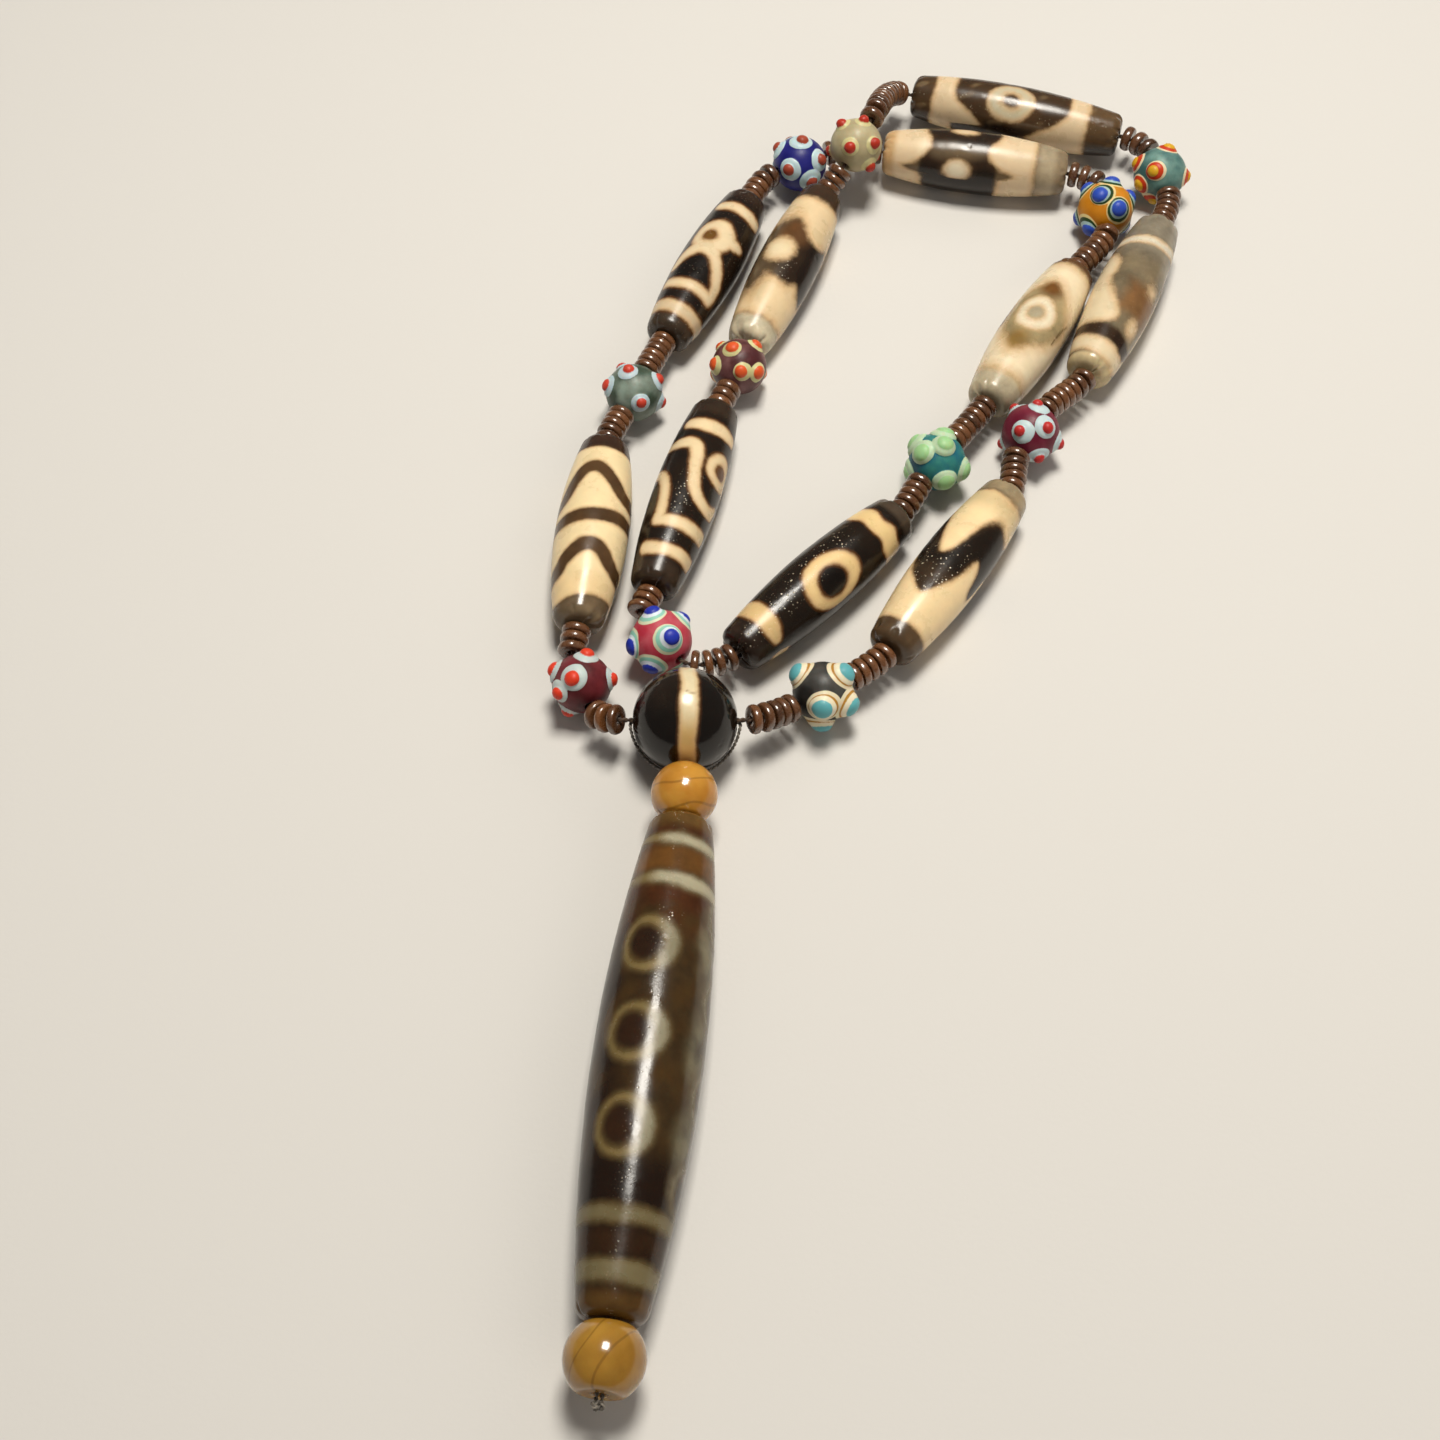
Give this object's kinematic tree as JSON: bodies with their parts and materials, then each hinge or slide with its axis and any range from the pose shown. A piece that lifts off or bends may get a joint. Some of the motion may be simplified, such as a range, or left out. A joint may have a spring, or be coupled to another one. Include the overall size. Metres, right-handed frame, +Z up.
{
  "type": "dzi bead necklace",
  "caption": "Long strand of etched agate barrel beads, glass eye beads and small wooden discs, laid in two loops, with a long agate pendant bead on a thread.",
  "frame": {"origin": "on the surface that the necklace lies on, under the middle of its box", "axes": "+X to the right, +Y from the pendant towards the far end of the loops, +Z up from the surface"},
  "size_m": [0.1426, 0.3104, 0.0212],
  "materials": {
    "dzi_ivory": "etched agate, polished, with small pits",
    "dzi_dark": "etched dark agate with ivory lines, polished, with small pits",
    "round_agate": "polished",
    "pendant_agate": "polished, brown and a little see-through",
    "amber": "polished",
    "spacer_wood": "dark reddish brown, oiled and shiny",
    "strand_thread": "waxed",
    "pendant_thread": "twisted, grey and dark",
    "glass_burgundy": "frosted, opaque, with raised eyes",
    "glass_green": "frosted, opaque, with raised eyes",
    "glass_blue": "frosted, opaque, with raised eyes",
    "glass_orange": "frosted, opaque, with raised eyes",
    "glass_teal": "frosted, opaque, with raised eyes",
    "glass_pink": "frosted, opaque, with raised eyes",
    "glass_purple": "frosted, opaque, with raised eyes",
    "glass_cream": "frosted, opaque, with raised eyes",
    "glass_sea": "frosted, opaque, with raised eyes",
    "glass_maroon": "frosted, opaque, with raised eyes",
    "glass_black": "frosted, opaque, with raised eyes"
  },
  "bodies": {
    "root": {"round_bead": "round_agate", "glass_burgundy": "glass_burgundy", "dzi_arches": "dzi_ivory", "glass_green": "glass_green", "dzi_hook": "dzi_dark", "glass_blue": "glass_blue", "dzi_moon": "dzi_ivory", "glass_orange": "glass_orange", "dzi_halo": "dzi_ivory", "glass_teal": "glass_teal", "dzi_ring": "dzi_dark", "glass_pink": "glass_pink", "dzi_scroll": "dzi_dark", "glass_purple": "glass_purple", "dzi_cloud": "dzi_ivory", "glass_cream": "glass_cream", "dzi_peaks": "dzi_ivory", "glass_sea": "glass_sea", "dzi_patches": "dzi_ivory", "glass_maroon": "glass_maroon", "dzi_tooth": "dzi_ivory", "glass_black": "glass_black", "spacers_01": "spacer_wood", "spacers_02": "spacer_wood", "spacers_03": "spacer_wood", "spacers_04": "spacer_wood", "spacers_05": "spacer_wood", "spacers_06": "spacer_wood", "spacers_07": "spacer_wood", "spacers_08": "spacer_wood", "spacers_09": "spacer_wood", "spacers_10": "spacer_wood", "spacers_11": "spacer_wood", "spacers_12": "spacer_wood", "spacers_13": "spacer_wood", "spacers_14": "spacer_wood", "spacers_15": "spacer_wood", "spacers_16": "spacer_wood", "spacers_17": "spacer_wood", "spacers_18": "spacer_wood", "spacers_19": "spacer_wood", "spacers_20": "spacer_wood", "spacers_21": "spacer_wood", "strand_thread": "strand_thread", "amber_upper": "amber", "pendant_dzi": "pendant_agate", "amber_lower": "amber", "pendant_thread": "pendant_thread"}
  },
  "joints": []
}
